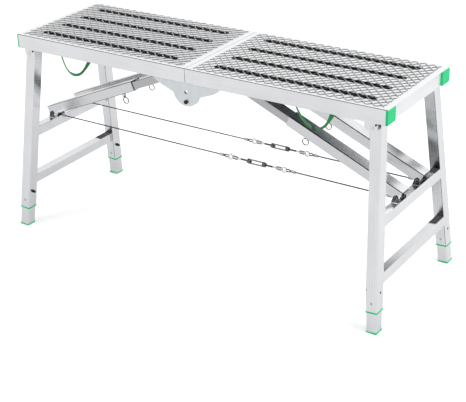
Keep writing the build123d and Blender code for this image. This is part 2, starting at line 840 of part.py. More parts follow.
panel, mesh, rail, members = deck_panel(), deck_mesh(), side_rail(), cross_members()
caps = rail_caps()
leg_tube, collar = leg(), leg_collar()
upper, lower = rung(upper_rung_z, True), rung(lower_rung_z, False)
foot, pad, pin = foot_tube(), foot_pad(), lock_pin_part()
inner_tube, outer_tube, pull = brace_inner(), brace_outer(), brace_pull_pin()
band = strap()

for side in ("left", "right"):
    finish(placed(panel, side), f"{side}_deck_panel")
    finish(placed(mesh, side), f"{side}_deck_mesh")
    finish(placed(members, side), f"{side}_cross_members")
    finish(both_rows(caps, side), f"{side}_rail_caps")
    layer = left_layer if side == "left" else right_layer
    plate = hinge_plate_part(layer, wall_inner_y - layer - hinge_plate)
    finish(both_rows(plate, side), f"{side}_hinge_plates")
    finish(both_rows(pivot_bolts(ear_rivets[side], side == "left"), side), f"{side}_pivot_bolts")
    finish(placed(upper, side), f"{side}_upper_rung")
    finish(placed(lower, side), f"{side}_lower_rung")
    finish(both_rows(collar, side), f"{side}_leg_collars")
    finish(placed(band, side), f"{side}_carry_strap")
    for row in ("front", "rear"):
        where = f"{side}_{row}"
        finish(placed(rail, side, row), f"{where}_rail")
        finish(placed(leg_tube, side, row), f"{where}_leg")
        finish(placed(foot, side, row), f"{where}_foot_tube")
        finish(placed(pad, side, row), f"{where}_foot_pad")
        finish(placed(pin, side, row), f"{where}_foot_lock_pin")
        finish(placed(inner_tube, side, row), f"{where}_brace_inner")
        finish(placed(outer_tube, side, row), f"{where}_brace_outer")
        finish(placed(pull, side, row), f"{where}_brace_pull_pin")

tie_end = leg_plane.from_local_coords(
    (0, along_leg(upper_rung_z[1]) + 6, leg_inner_face + rung_inset + 0.5)
).X - 0.6
left_wire = tie_wire(-tie_end, turnbuckle_start)
right_wire = tie_wire(turnbuckle_end, tie_end)
eyes, buckle = eye_bolt_pair(), turnbuckle()
for row in ("front", "rear"):
    finish(placed(left_wire, "right", row), f"left_{row}_tie_wire")
    finish(placed(right_wire, "right", row), f"right_{row}_tie_wire")
    finish(placed(buckle, "right", row), f"{row}_turnbuckle")
finish(both_rows(eyes, "right"), "turnbuckle_eye_bolts")

print(len(made), "pieces written")
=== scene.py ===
# %% [markdown]
# # A folding work platform, dressed for the camera
#
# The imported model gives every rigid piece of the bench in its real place. This lesson adds what a
# plain solid lacks: satin metal with drawn lines, moulded green plastic, twisted wire rope with its
# crimped loops, and carrying straps woven from webbing.

# %% Load the model
import bpy
from math import cos, pi, radians, sin
from mathutils import Matrix, Vector


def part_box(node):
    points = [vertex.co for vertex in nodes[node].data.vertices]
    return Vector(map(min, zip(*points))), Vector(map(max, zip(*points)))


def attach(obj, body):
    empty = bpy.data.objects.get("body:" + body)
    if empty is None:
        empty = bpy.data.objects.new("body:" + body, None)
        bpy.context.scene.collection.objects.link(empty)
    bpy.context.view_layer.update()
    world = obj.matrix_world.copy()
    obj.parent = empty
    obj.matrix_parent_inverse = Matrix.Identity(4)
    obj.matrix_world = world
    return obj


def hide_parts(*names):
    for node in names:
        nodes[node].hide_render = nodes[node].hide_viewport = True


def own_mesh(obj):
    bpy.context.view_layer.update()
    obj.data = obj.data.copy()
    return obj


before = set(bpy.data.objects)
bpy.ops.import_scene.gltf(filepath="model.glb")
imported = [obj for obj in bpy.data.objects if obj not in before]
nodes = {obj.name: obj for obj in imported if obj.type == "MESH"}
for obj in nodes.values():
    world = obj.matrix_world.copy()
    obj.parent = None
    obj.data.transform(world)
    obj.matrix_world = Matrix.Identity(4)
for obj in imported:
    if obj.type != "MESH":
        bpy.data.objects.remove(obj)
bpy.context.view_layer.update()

# %% [markdown]
# ## Where things are
#
# The legs and the braces slope, and a finish has to know by how much: drawn tube has its lines
# along its length. Reading a slope off a mesh is fragile, so the few angles and pivots that the
# bench was built from are named once here, and everything else is measured from the pieces' boxes.

# %% Sides, rows and directions
sides = {"left": -1, "right": 1}
rows = {"front": -1, "rear": 1}
along_x, along_y, along_z = (1, 0, 0), (0, 1, 0), (0, 0, 1)
leg_lean = radians(3.96)
leg_spread = 0.1262
leg_pivot_x, leg_pivot_y, leg_pivot_z = 0.652, 0.1759, 0.635
brace_slope = radians(23.06)


def frame_upright(side):
    """Unit vector up the leaning plane of a leg frame."""
    return Vector((-sides[side] * sin(leg_lean), 0, cos(leg_lean)))


def leg_direction(side, row):
    """Unit vector up the length of a splayed leg."""
    return (frame_upright(side) - Vector((0, rows[row] * leg_spread, 0))).normalized()


def brace_direction(side):
    """Unit vector down the length of a brace, from the deck to the rung."""
    return Vector((sides[side] * cos(brace_slope), 0, -sin(brace_slope)))


print("left front leg points up", tuple(round(v, 3) for v in leg_direction("left", "front")))

# %% [markdown]
# ## Camera
#
# A long lens from the front right, a little above the deck, with a slight roll. A short lens close
# by would spread the four legs apart. The long one keeps them nearly parallel, as on a catalogue
# page. The angles are applied in turn as rotations, which is easier to follow than one matrix.

# %% Camera
camera_place = (2.056, -2.978, 1.934)
camera_turn, camera_height, camera_roll = radians(34.288), radians(26.213), radians(-1.657)
sight = bpy.data.cameras.new("bench_camera")
sight.sensor_width = 36
sight.lens = 90.93
camera = bpy.data.objects.new("bench_camera", sight)
bpy.context.collection.objects.link(camera)
bpy.context.scene.camera = camera
level_view = Matrix.Rotation(camera_turn, 4, "Z") @ Matrix.Rotation(pi / 2 - camera_height, 4, "X")
rolled_view = level_view @ Matrix.Rotation(camera_roll, 4, "Z")
camera.matrix_world = Matrix.Translation(camera_place) @ rolled_view
print("camera at", tuple(round(v, 3) for v in camera.matrix_world.translation))

# %% [markdown]
# ## Shader maths
#
# A finish is easier to read as a sum than as a web of nodes. `Field` wraps one socket, and its
# operators add the Math node that they stand for.

# %% Field
class Field:
    """A number, vector or colour that changes over a surface."""

    def __init__(self, maker, socket):
        self.maker = maker
        self.socket = socket

    def maths(self, operation, first, second=None):
        values = {0: first} if second is None else {0: first, 1: second}
        return self.maker.node("Math", values, operation=operation)

    def __add__(self, other):
        return self.maths("ADD", self, other)

    def __sub__(self, other):
        return self.maths("SUBTRACT", self, other)

    def __rsub__(self, other):
        return self.maths("SUBTRACT", other, self)

    def __mul__(self, other):
        return self.maths("MULTIPLY", self, other)

    def __pow__(self, other):
        return self.maths("POWER", self, other)

    def __gt__(self, other):
        return self.maths("GREATER_THAN", self, other)

    def __lt__(self, other):
        return self.maths("LESS_THAN", self, other)

    def __abs__(self):
        return self.maths("ABSOLUTE", self)

    def wave(self):
        """Swings between 0 and 1, once for every 2 pi."""
        return self.maths("SINE", self) * 0.5 + 0.5

    def most(self, other):
        return self.maths("MAXIMUM", self, other)

    def repeat(self, step):
        """Distance from the nearest multiple of step."""
        return self.maths("PINGPONG", self, step / 2)

    __radd__ = __add__
    __rmul__ = __mul__


print("shader maths ready")

# %% [markdown]
# ## Making nodes
#
# Every other node comes from one method, which sets the node's own choices first and its sockets
# after. The same method serves the world behind the bench. A script could call Blender for each
# node where it is needed, but a page of such calls hides what the finish looks like.

# %% NodeMaker
class NodeMaker:
    """Adds nodes to one tree."""

    def __init__(self, tree):
        self.tree = tree

    def feed(self, socket, value):
        if isinstance(value, Field):
            self.tree.links.new(value.socket, socket)
        elif isinstance(value, tuple) and socket.type == "RGBA":
            socket.default_value = (*value, 1)
        else:
            socket.default_value = value

    def node(self, kind, sockets=None, out=0, **settings):
        """Add a node: its settings, then its sockets' values or links; out is the output used."""
        made = self.tree.nodes.new("ShaderNode" + kind)
        for name, value in settings.items():
            setattr(made, name, value)
        for name, value in (sockets or {}).items():
            self.feed(made.inputs[name], value)
        return Field(self, made.outputs[out])


print("nodes can be made")

# %% [markdown]
# ## Finishes
#
# `Finish` is a material on a Principled surface, with short names for the few things that this
# bench's finishes are made of: places, directions, noise, mixes and relief. Places are the
# object's own, in metres, so a finish stays on its piece when the bench folds.

# %% Finish
class Finish(NodeMaker):
    """A material on a Principled surface."""

    def __init__(self, name, slot):
        self.material = bpy.data.materials.new(name)
        self.material.use_nodes = True
        super().__init__(self.material.node_tree)
        self.slot = slot
        self.surface = next(n for n in self.tree.nodes if n.type == "BSDF_PRINCIPLED")

    def set(self, **sockets):
        for name, value in sockets.items():
            self.feed(self.surface.inputs[name.replace("_", " ")], value)

    def place(self):
        """Where a point is, in metres."""
        return self.node("TexCoord", out="Object")

    def across(self, direction):
        """Distance along a fixed direction."""
        values = {0: self.place(), 1: tuple(direction)}
        return self.node("VectorMath", values, out="Value", operation="DOT_PRODUCT")

    def facing(self, direction):
        """How far the surface faces a fixed direction."""
        values = {0: self.node("NewGeometry", out="Normal"), 1: tuple(direction)}
        return self.node("VectorMath", values, out="Value", operation="DOT_PRODUCT")

    def stretched(self, scale):
        """Places with each axis scaled, for streaks and grain."""
        values = {0: self.place(), 1: scale}
        return self.node("VectorMath", values, operation="MULTIPLY")

    def noise(self, scale, where=None, detail=3.0):
        values = {"Vector": where or self.place(), "Scale": scale, "Detail": detail}
        return self.node("TexNoise", values)

    def mix(self, amount, first, second):
        """Colour from first to second as amount goes from 0 to 1."""
        colour_first, colour_second, colour_out = 6, 7, 2
        values = {0: amount, colour_first: first, colour_second: second}
        return self.node("Mix", values, out=colour_out, data_type="RGBA")

    def step(self, value, low, high):
        """0 below low and 1 above high, smooth between."""
        values = {"Value": value, "From Min": low, "From Max": high}
        return self.node("MapRange", values, interpolation_type="SMOOTHSTEP")

    def bump(self, relief, depth, strength):
        """Raise the surface by relief times depth, in metres."""
        values = {"Height": relief, "Distance": depth, "Strength": strength}
        self.set(Normal=self.node("Bump", values))


print("finishes can be made")

# %% Paint
def paint(finish, *pieces):
    """Give solid nodes, by name, or new pieces a finish."""
    for piece in pieces:
        target = nodes[piece] if isinstance(piece, str) else piece
        target.data.materials.clear()
        target.data.materials.append(finish.material)


print("pieces can be painted")

# %% [markdown]
# ## Drawn aluminium tube
#
# Extruded tube comes out of its die with faint lines along its whole length. A flat colour can't
# show that, so the finish measures each point along three directions: the tube's length and two
# across it. Noise that is squeezed across and stretched along gives the drawn look in colour,
# roughness and relief, and a few dark lines can run the length of a face: real grooves, and
# painted shade lines where a rounded edge mirrors something dark.

# %% Tube finish
tube_colour = (0.785, 0.79, 0.80)
shade_colour = (0.705, 0.72, 0.733)
worn_colour = (0.86, 0.87, 0.88)
groove_and_shade_colour = (0.03, 0.032, 0.034)
grain_along, grain_across = 6.0, 420.0


def tube_finish(name, length, grooves_and_shade_lines=()):
    """Satin metal drawn along a length. Grooves and painted shade lines are (direction, offset,
    half width, darkness).
    """
    finish = Finish(name, "tube_aluminium")
    length = Vector(length).normalized()
    side = length.cross(Vector(along_z if abs(length.z) < 0.9 else along_x)).normalized()
    drawn = finish.node("CombineXYZ", {
        0: finish.across(length) * grain_along,
        1: finish.across(side) * grain_across,
        2: finish.across(length.cross(side)) * grain_across,
    })
    streaks = finish.noise(1.0, drawn, 4.0)
    clouds = finish.noise(9.0, detail=2.0)
    wear = finish.step(finish.noise(55.0, detail=6.0), 0.60, 0.78)
    shade = finish.step(streaks * 0.5 + clouds * 0.5, 0.34, 0.66)
    colour = finish.mix(shade, shade_colour, tube_colour)
    colour = finish.mix(wear * 0.2, colour, worn_colour)
    relief = streaks
    for direction, offset, half_width, darkness in grooves_and_shade_lines:
        distance = abs(finish.across(direction) - offset)
        dark_line = 1 - finish.step(distance, half_width * 0.5, half_width)
        # real grooves are darkened a little; the edge lines are painted shade
        colour = finish.mix(dark_line * darkness, colour, groove_and_shade_colour)
        relief = relief - dark_line * 2.0
    finish.colour = colour
    finish.set(Base_Color=colour, Metallic=1.0, Roughness=0.17 + streaks * 0.10 + wear * 0.05)
    finish.bump(relief, 0.0001, 0.3)
    return finish


print("tube colour", tube_colour)

# %% [markdown]
# ## Legs and feet
#
# Each leg is a rectangular tube with three faint grooves down its outer face, and a painted shadow
# rings the rivet that stops the foot. The rear legs get a painted shade line along their rounded
# edge. Cutting such grooves in the solid would cost many faces for a tenth of a millimetre, so they
# are drawn by the finish, across a direction worked out from the leg's own slope.

# %% Legs and feet
face_middle_from_pivot = 0.005
leg_grooves, leg_groove_half, leg_groove_darkness = (-0.008, 0.0, 0.010), 0.0006, 0.10
leg_edge_shade, leg_edge_shade_half, leg_edge_shade_darkness = -0.0163, 0.0011, 0.8
rivet_height, rivet_radius = 0.094, 0.0028
rivet_shadow_colour = (0.08, 0.085, 0.09)
for side, way in sides.items():
    for row, depth in rows.items():
        direction = leg_direction(side, row)
        outward = Vector((0, depth, 0))
        outward = (outward - outward.dot(direction) * direction).normalized()
        across_face = direction.cross(outward)
        pivot = Vector((way * leg_pivot_x, depth * leg_pivot_y, leg_pivot_z))
        middle = pivot.dot(across_face) + across_face.x * way * face_middle_from_pivot
        grooves_and_shade_lines = [
            (across_face, middle + shift, leg_groove_half, leg_groove_darkness)
            for shift in leg_grooves
        ]
        # the rear legs' rounded edge gets a painted shade line
        if row == "rear":
            grooves_and_shade_lines.append((across_face, middle + leg_edge_shade, leg_edge_shade_half, leg_edge_shade_darkness))
        leg = tube_finish(f"drawn_leg_{side}_{row}", direction, grooves_and_shade_lines)
        rivet_place = direction.dot(pivot) + (rivet_height - pivot.z) / direction.z
        beside = leg.across(across_face) - middle
        above = leg.across(direction) - rivet_place
        from_rivet = (beside * beside + above * above) ** 0.5
        # a painted shadow ring round the rivet
        rivet_shadow = 1 - leg.step(abs(from_rivet - rivet_radius), 0.0004, 0.0012)
        leg.set(Base_Color=leg.mix(rivet_shadow * 0.8, leg.colour, rivet_shadow_colour))
        paint(leg, f"{side}_{row}_leg")
        foot = tube_finish(f"drawn_foot_{side}_{row}", direction)
        paint(foot, f"{side}_{row}_foot_tube")
print("legs and feet finished, middle of the last face at", round(middle, 4))

# %% [markdown]
# ## Rungs and their hooks
#
# The rungs are the same drawn tube laid across, with the brace hooks welded on top of the upper
# one. The hooks are blackened steel, and the rung's top carries a painted dark reflection beside
# the rear leg. The hooks belong to the rung's own solid, so the finish tells them apart by height
# above the rung's sloping top instead of by a second material.

# %% Rungs and their hooks
upper_rung_top = 0.358
dark_reflection_start, dark_reflection_end = 0.154, 0.162
dark_reflection_colour = (0.025, 0.021, 0.02)
hook_dark, hook_bright = (0.02, 0.021, 0.023), (0.22, 0.225, 0.23)
for side, way in sides.items():
    upright = frame_upright(side)
    pivot = Vector((way * leg_pivot_x, 0, leg_pivot_z))
    top_place = upright.dot(pivot) + (upper_rung_top - pivot.z) / cos(leg_lean)
    rung = tube_finish(f"drawn_rung_{side}", along_y)
    on_hook = rung.step(rung.across(upright), top_place + 0.0004, top_place + 0.0012)
    # painted dark reflection on the top face beside the rear leg
    dark_reflection = rung.step(rung.across(along_y) + rung.noise(70.0) * 0.012, dark_reflection_start, dark_reflection_end)
    dark_reflection = dark_reflection * rung.step(rung.facing(upright), 0.6, 0.9)
    rung_colour = rung.mix(dark_reflection, rung.colour, dark_reflection_colour)
    hook_colour = rung.mix(rung.step(rung.noise(240.0), 0.45, 0.65), hook_dark, hook_bright)
    rung.set(Base_Color=rung.mix(on_hook, rung_colour, hook_colour))
    paint(rung, f"{side}_upper_rung", f"{side}_lower_rung")
print("rungs finished")

# %% [markdown]
# ## Braces and rails
#
# The telescopic braces are drawn tube along their slope. The edge of each that is nearest the front
# is rounded and mirrors the shade under the deck, which reads as one dark line, so a painted shade
# line stands for that reflection. The side rails are the same metal drawn along the platform.

# %% Braces and rails
brace_row, brace_half_width = 0.0725, 0.024
brace_edge_inset, brace_edge_shade_half = 0.0016, 0.0018
for side in sides:
    for row, depth in rows.items():
        near_edge = depth * brace_row - (brace_half_width - brace_edge_inset)
        # painted shade line for the reflection in the rounded front edge
        edge_reflection_line = (along_y, near_edge, brace_edge_shade_half, 1.0)
        brace = tube_finish(f"drawn_brace_{side}_{row}", brace_direction(side), [edge_reflection_line])
        paint(brace, f"{side}_{row}_brace_inner", f"{side}_{row}_brace_outer")
rail = tube_finish("drawn_rail", along_x)
paint(rail, *[f"{side}_{row}_rail" for side in sides for row in rows])
print("braces and rails finished")

# %% [markdown]
# ## Dark metal for the cross members, as painted shade
#
# The hat sections under the deck are painted dark grey: painted shade for the gloom under the deck.
# Several small parts need the same kind of finish in other shades: a fine noise that runs between
# two greys and also breaks up the gloss. One function makes them all.

# %% Mottled metal and cross members
def mottled_metal(name, slot, scale, detail, shades, metallic, roughness, depth=0.0001, clear=None):
    """Metal mottled between two shades; roughness is (least, gain), clear sharpens the mottle."""
    finish = Finish(name, slot)
    finish.mottle = finish.noise(scale, detail=detail)
    amount = finish.step(finish.mottle, *clear) if clear else finish.mottle
    finish.colour = finish.mix(amount, *shades)
    least, gain = roughness
    finish.set(
        Base_Color=finish.colour, Metallic=metallic, Roughness=least + finish.mottle * gain,
    )
    if depth:
        finish.bump(finish.mottle, depth, 0.4)
    return finish


# painted shade: dark grey for the gloom under the deck
shaded_members = mottled_metal(
    "shade_dark_member", "tube_aluminium", 60.0, 4.0,
    ((0.10, 0.11, 0.115), (0.16, 0.17, 0.175)), 0.6, (0.5, 0.1),
)
paint(shaded_members, *[f"{side}_cross_members" for side in sides])
print("cross members finished")

# %% [markdown]
# ## Deck sheet
#
# The tread is a smooth bright sheet, folded down at its edges, with long troughs whose insides are
# painted black as shade, because hardly any light gets out of them. The sheet and its troughs are
# one solid. Masks built from each point's place split it for painted shade: inside a trough,
# underneath, and the crease at the front and rear edge.

# %% Deck sheet
trough_pitch, trough_half_width = 0.096, 0.0127
trough_start, trough_end, trough_ceiling = 0.0695, 0.6335, 0.69785
crease_start, crease_floor = 0.20665, 0.6964
sheet_colours = (0.93, 0.94, 0.955), (0.975, 0.98, 0.99)
trough_shade_colours = (0.010, 0.011, 0.012), (0.03, 0.032, 0.034)
underside_shade_colour = (0.15, 0.17, 0.175)


def over_trough(finish):
    """1 in the long strips of the deck that have a trough, 0 beside them."""
    across_deck, along_deck = abs(finish.across(along_y)), abs(finish.across(along_x))
    from_trough = abs(abs(across_deck - trough_pitch) - trough_pitch / 2)
    inside = (from_trough < trough_half_width) * (along_deck > trough_start)
    return inside * (along_deck < trough_end)


sheet = Finish("deck_sheet", "deck_aluminium")
rolled = sheet.noise(1.0, sheet.stretched((7.0, 300.0, 60.0)), 4.0)
patches = sheet.noise(14.0, detail=3.0)
height_up = sheet.across(along_z)
in_trough = over_trough(sheet) * (height_up < trough_ceiling)
shaded_underside = sheet.facing(along_z) < -0.5
crease_shade = (abs(sheet.across(along_y)) > crease_start) * (height_up > crease_floor)
# painted shade: trough insides, the underside and the crease at the front and rear edge
dark = in_trough.most(shaded_underside).most(crease_shade)
sheet_colour = sheet.mix(sheet.step(rolled * 0.5 + patches * 0.5, 0.36, 0.64), *sheet_colours)
dark_colour = sheet.mix(shaded_underside, sheet.mix(patches, *trough_shade_colours), underside_shade_colour)
sheet.set(
    Base_Color=sheet.mix(dark, sheet_colour, dark_colour),
    Metallic=0.5,
    Roughness=0.32 + rolled * 0.12 + dark * 0.3,
)
sheet.bump(rolled, 0.0001, 0.3)
paint(sheet, "left_deck_panel", "right_deck_panel")
print("sheet finished, troughs", trough_start, "to", trough_end)

# %% [markdown]
# ## Diamond mesh
#
# Two layers of flat strands cross each other on top of the sheet. The strands are so thin that
# light and shade on them decide how the deck reads, so both are painted: one layer is painted lit
# and the other painted in shade, both with bright scuffs, the sheared flanks carry painted shade on
# one side, and all of it is painted darker over the black troughs. The two halves were cut from the
# roll the other way round, so their layers swap.

# %% Diamond mesh
deck_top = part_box("right_deck_mesh")[1].z
half_strand = 0.0005
shaded_strand, shaded_strand_over_trough = (0.15, 0.155, 0.16), (0.03, 0.032, 0.034)
near_flank_shade_colour, scuff_colour = (0.012, 0.013, 0.014), (0.80, 0.81, 0.83)
lit_strand = {"left": (0.66, 0.67, 0.69), "right": (0.64, 0.65, 0.66)}
lit_strand_over_trough = {"left": (0.54, 0.55, 0.56), "right": (0.20, 0.205, 0.21)}
far_flank_lit_and_shaded = {"left": (0.60, 0.61, 0.63), "right": (0.14, 0.145, 0.15)}
for side in sides:
    strand = Finish(f"mesh_strand_{side}", "mesh_aluminium")
    scuffs = strand.noise(160.0, detail=4.0)
    upper_layer = strand.across(along_z) > deck_top - half_strand
    # painted shade on one layer: the lower one on the right half, the upper one on the left
    shaded_layer = 1 - upper_layer if side == "right" else upper_layer
    top = strand.mix(shaded_layer, lit_strand[side], shaded_strand)
    top_shaded_over_trough = strand.mix(shaded_layer, lit_strand_over_trough[side], shaded_strand_over_trough)
    # painted shade over the black troughs
    top = strand.mix(over_trough(strand), top, top_shaded_over_trough)
    top = strand.mix(strand.step(scuffs, 0.55, 0.8) * 0.4, top, scuff_colour)
    # painted shade on the near flanks; the far flanks are painted lit on the left, shaded on the
    # right
    near_flank = abs(strand.facing((1, -1, 0))) > 0.9
    far_flank = abs(strand.facing((1, 1, 0))) > 0.9
    colour = strand.mix(near_flank, top, near_flank_shade_colour)
    colour = strand.mix(far_flank, colour, far_flank_lit_and_shaded[side])
    strand.set(Base_Color=colour, Metallic=0.5, Roughness=0.40 + scuffs * 0.15)
    strand.bump(scuffs, 0.00015, 0.4)
    paint(strand, f"{side}_deck_mesh")
print("mesh finished, top at", round(deck_top, 4))

# %% [markdown]
# ## Hinge plates
#
# The half-moon plates of the centre hinge are zinc plated steel, with the soft spangle that
# plating leaves. It is broader and fainter than the mottle of the small parts, and the fine grain
# of the relief has another scale than the colour, so this finish is written out by itself.

# %% Hinge plates
spangle_colours = (0.62, 0.655, 0.67), (0.665, 0.70, 0.71)
plate = Finish("zinc_plate", "zinc_steel")
spangle = plate.noise(38.0, detail=5.0)
plate.set(
    Base_Color=plate.mix(plate.step(spangle, 0.25, 0.75), *spangle_colours),
    Metallic=1.0,
    Roughness=0.36 + spangle * 0.06,
)
plate.bump(plate.noise(420.0, detail=3.0), 0.0001, 0.3)
paint(plate, "left_hinge_plates", "right_hinge_plates")
print("hinge plates finished")

# %% [markdown]
# ## Bolts and pins
#
# The bolts and the foot pins are blackened steel, but the heads of the leg pivots are bare. One
# material serves all bolts, and a mask keeps the leg heads bright, by how far they are along and
# across the bench. The pull pins of the braces carry thin dark rings, and the sleeves crimped on
# the ropes are plated.

# %% Bolts and pins
leg_head_radius, nearest_leg_head = 0.0082, 0.15
bare_head_colour = (0.74, 0.75, 0.76)
bolt = mottled_metal(
    "dark_bolt", "zinc_steel", 260.0, 5.0,
    ((0.018, 0.019, 0.02), (0.07, 0.073, 0.077)), 0.9, (0.34, 0.2), 0.00015, (0.4, 0.7),
)
leg_head = abs(abs(bolt.across(along_x)) - leg_pivot_x) < leg_head_radius
leg_head = leg_head * (abs(bolt.across(along_y)) > nearest_leg_head)
bolt.set(Base_Color=bolt.mix(leg_head, bolt.colour, bare_head_colour))
plated = mottled_metal(
    "plated_pin", "zinc_steel", 300.0, 4.0,
    ((0.34, 0.35, 0.36), (0.60, 0.61, 0.62)), 1.0, (0.25, 0.2), 0,
)
ring_wire = mottled_metal(
    "ring_wire", "zinc_steel", 220.0, 4.0,
    ((0.07, 0.073, 0.078), (0.26, 0.265, 0.27)), 0.9, (0.30, 0.2),
)
paint(bolt, "left_pivot_bolts", "right_pivot_bolts")
for side in sides:
    for row in rows:
        paint(ring_wire, f"{side}_{row}_brace_pull_pin")
        paint(bolt, f"{side}_{row}_foot_lock_pin")
print("bolts and pins finished")

# %% [markdown]
# ## Turnbuckles
#
# A turnbuckle is a forged frame with a threaded eye bolt in each end. The eyes are bright, their
# plating with a painted highlight, and the thread between them is dark. A modelled thread would
# need thousands of faces, so a sine along the shank paints shade into the roots and light onto the
# crests. The frame's two bosses are darker than its bars.

# %% Turnbuckles
thread_pitch, shank_reach = 0.0012, 0.061
boss_length, boss_blend = 0.009, 0.001
eye_plating_and_highlight, boss_colour = (0.90, 0.905, 0.91), (0.13, 0.135, 0.14)
root_shade_colour, crest_light_colour = (0.02, 0.022, 0.024), (0.14, 0.145, 0.15)
eye_low, eye_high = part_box("turnbuckle_eye_bolts")
turnbuckle_middle = (eye_low.x + eye_high.x) / 2
eye_bolt = Finish("eye_bolt", "zinc_steel")
# painted shade in the thread's roots and painted light on its crests
thread = (eye_bolt.across(along_x) * (2 * pi / thread_pitch)).wave()
shank = abs(eye_bolt.across(along_x) - turnbuckle_middle) < shank_reach
eye_bolt.set(
    # the bright eyes carry a painted highlight on their plating
    Base_Color=eye_bolt.mix(shank, eye_plating_and_highlight, eye_bolt.mix(thread, root_shade_colour, crest_light_colour)),
    Metallic=0.6,
    Roughness=0.35 + thread * 0.1,
)
eye_bolt.bump(thread, 0.0002, 0.6)
paint(eye_bolt, "turnbuckle_eye_bolts")

body_low, body_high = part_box("front_turnbuckle")
body_middle = (body_low.x + body_high.x) / 2
boss_start = (body_high.x - body_low.x) / 2 - boss_length
buckle = mottled_metal(
    "turnbuckle_body", "zinc_steel", 200.0, 4.0,
    ((0.24, 0.25, 0.26), (0.44, 0.45, 0.46)), 0.9, (0.30, 0.15),
)
from_middle = abs(buckle.across(along_x) - body_middle)
boss = buckle.step(from_middle, boss_start - boss_blend, boss_start)
buckle.set(Base_Color=buckle.mix(boss, buckle.colour, boss_colour))
paint(buckle, "front_turnbuckle", "rear_turnbuckle")
print("turnbuckle middle at", round(turnbuckle_middle, 4), "boss from", round(boss_start, 4))

# %% [markdown]
# ## Green plastic
#
# The caps of the rails, the collars of the legs and the foot pads are moulded in one bright green.
# Such plastic is coloured all through, so the tone hardly varies, and a fine grain from the mould
# keeps the gloss soft.

# %% Green plastic
green_tones = (0.002, 0.80, 0.27), (0.006, 0.88, 0.32)
green = Finish("green_plastic", "green_plastic")
grain = green.noise(900.0, detail=2.0)
tone = green.noise(20.0, detail=2.0)
green.set(Base_Color=green.mix(tone, *green_tones), Roughness=0.42 + grain * 0.12)
green.bump(grain, 0.0001, 0.35)
for side in sides:
    paint(green, f"{side}_rail_caps", f"{side}_leg_collars")
    for row in rows:
        paint(green, f"{side}_{row}_foot_pad")
print("plastic finished")

# %% [markdown]
# ## A sweep for webbing, loops and rope
#
# Webbing and rope are one section carried along a line. Blender's curves can do that with a bevel,
# but they neither twist a flat section as wanted nor number its corners predictably. So the sweep
# is written out: it turns the section smoothly, gives every ring the same corners, and lays a grid
# of lengths on the surface for the weave to follow.

# %% Rings of the sweep
def running_lengths(points):
    """Distance from the first point to each point, along the line."""
    lengths = [0.0]
    for first, second in zip(points, points[1:]):
        lengths.append(lengths[-1] + (second - first).length)
    return lengths


def ring_points(line, section, side, lengths, turned, closed):
    """The section's corners at every point of the line, turned by an angle at each."""
    points = []
    for index, point in enumerate(line):
        before = line[index - 1] if index or closed else line[0]
        after = line[(index + 1) % len(line)] if index < len(line) - 1 or closed else line[-1]
        ahead = (after - before).normalized()
        side = (side - side.dot(ahead) * ahead).normalized()
        up = ahead.cross(side)
        angle = turned(lengths[index] / lengths[-1])
        for a, b in section:
            along = a * cos(angle) - b * sin(angle)
            above = a * sin(angle) + b * cos(angle)
            points.append(point + side * along + up * above)
    return points


print("rings ready")

# %% Faces of the sweep
def ring_faces(count, lengths, around, closed):
    """Faces between neighbouring rings, and a place on the length grid for each face corner."""
    corners = len(around) - 1
    faces, places = [], []
    for index in range(count if closed else count - 1):
        here, following = index * corners, (index + 1) % count * corners
        start, end = lengths[index], lengths[index + 1]
        for corner in range(corners):
            beside = (corner + 1) % corners
            faces.append((here + corner, here + beside, following + beside, following + corner))
            near, far = around[corner], around[corner + 1]
            places.extend([(start, near), (start, far), (end, far), (end, near)])
    if not closed:
        for ring in (0, count - 1):
            face = [ring * corners + corner for corner in range(corners)]
            faces.append(face[::-1] if ring == 0 else face)
            places.extend([(lengths[ring], around[corner]) for corner in range(corners)])
    return faces, places


print("faces ready")

# %% Sweep and sections
def sweep(name, line, section, side, turned=lambda share: 0.0, closed=False):
    """A piece made by carrying a closed section along a line of points."""
    line = [Vector(point) for point in line]
    lengths = running_lengths(line + line[:1] if closed else line)
    around = running_lengths([Vector(corner) for corner in section + section[:1]])
    faces, places = ring_faces(len(line), lengths, around, closed)
    mesh = bpy.data.meshes.new(name)
    mesh.from_pydata(
        ring_points(line, section, Vector(side), lengths, turned, closed), [], faces,
    )
    layer = mesh.uv_layers.new(name="length")
    for loop, place in zip(layer.data, places):
        loop.uv = place
    mesh.polygons.foreach_set("use_smooth", [True] * len(mesh.polygons))
    mesh.update()
    piece = bpy.data.objects.new(name, mesh)
    bpy.context.collection.objects.link(piece)
    return piece


def oval_section(width, height, corners):
    """Corners of a round or oval section."""
    angles = [2 * pi * i / corners for i in range(corners)]
    return [(width * cos(angle), height * sin(angle)) for angle in angles]


print("sweep ready")

# %% [markdown]
# ## Webbing
#
# Webbing is a heavy narrow weave: ribs across its length and finer yarns along it, with a yellow
# stripe woven in and a dark seam where the ends overlap. Two sines over the length grid give the
# weave in colour and in relief, at any twist, because the grid lies on the strap itself.

# %% Webbing finish
rib_pitch, yarn_pitch = 0.0014, 0.0017
webbing_girth, stripe_place = 0.045, 0.0175
seam_place, seam_half, seam_blend = 0.090, 0.006, 0.0015
web_colours = (0.008, 0.34, 0.09), (0.03, 0.74, 0.20)
stripe_colours = (0.30, 0.42, 0.02), (0.55, 0.72, 0.06)
seam_colour = (0.004, 0.02, 0.012)
web = Finish("green_webbing", "green_webbing")
length_grid = web.node("UVMap", uv_map="length")
run = web.node("SeparateXYZ", {0: length_grid}, out="X")
girth = web.node("SeparateXYZ", {0: length_grid}, out="Y")
ribs = (run * (2 * pi / rib_pitch)).wave()
yarns = (girth * (2 * pi / yarn_pitch)).wave()
weave = ribs * 0.6 + yarns * 0.4
stripe = 1 - web.step(abs(girth.repeat(webbing_girth) - stripe_place), 0.0014, 0.0024)
web_colour = web.mix(weave, *web_colours)
web_colour = web.mix(stripe * 0.6, web_colour, web.mix(weave, *stripe_colours))
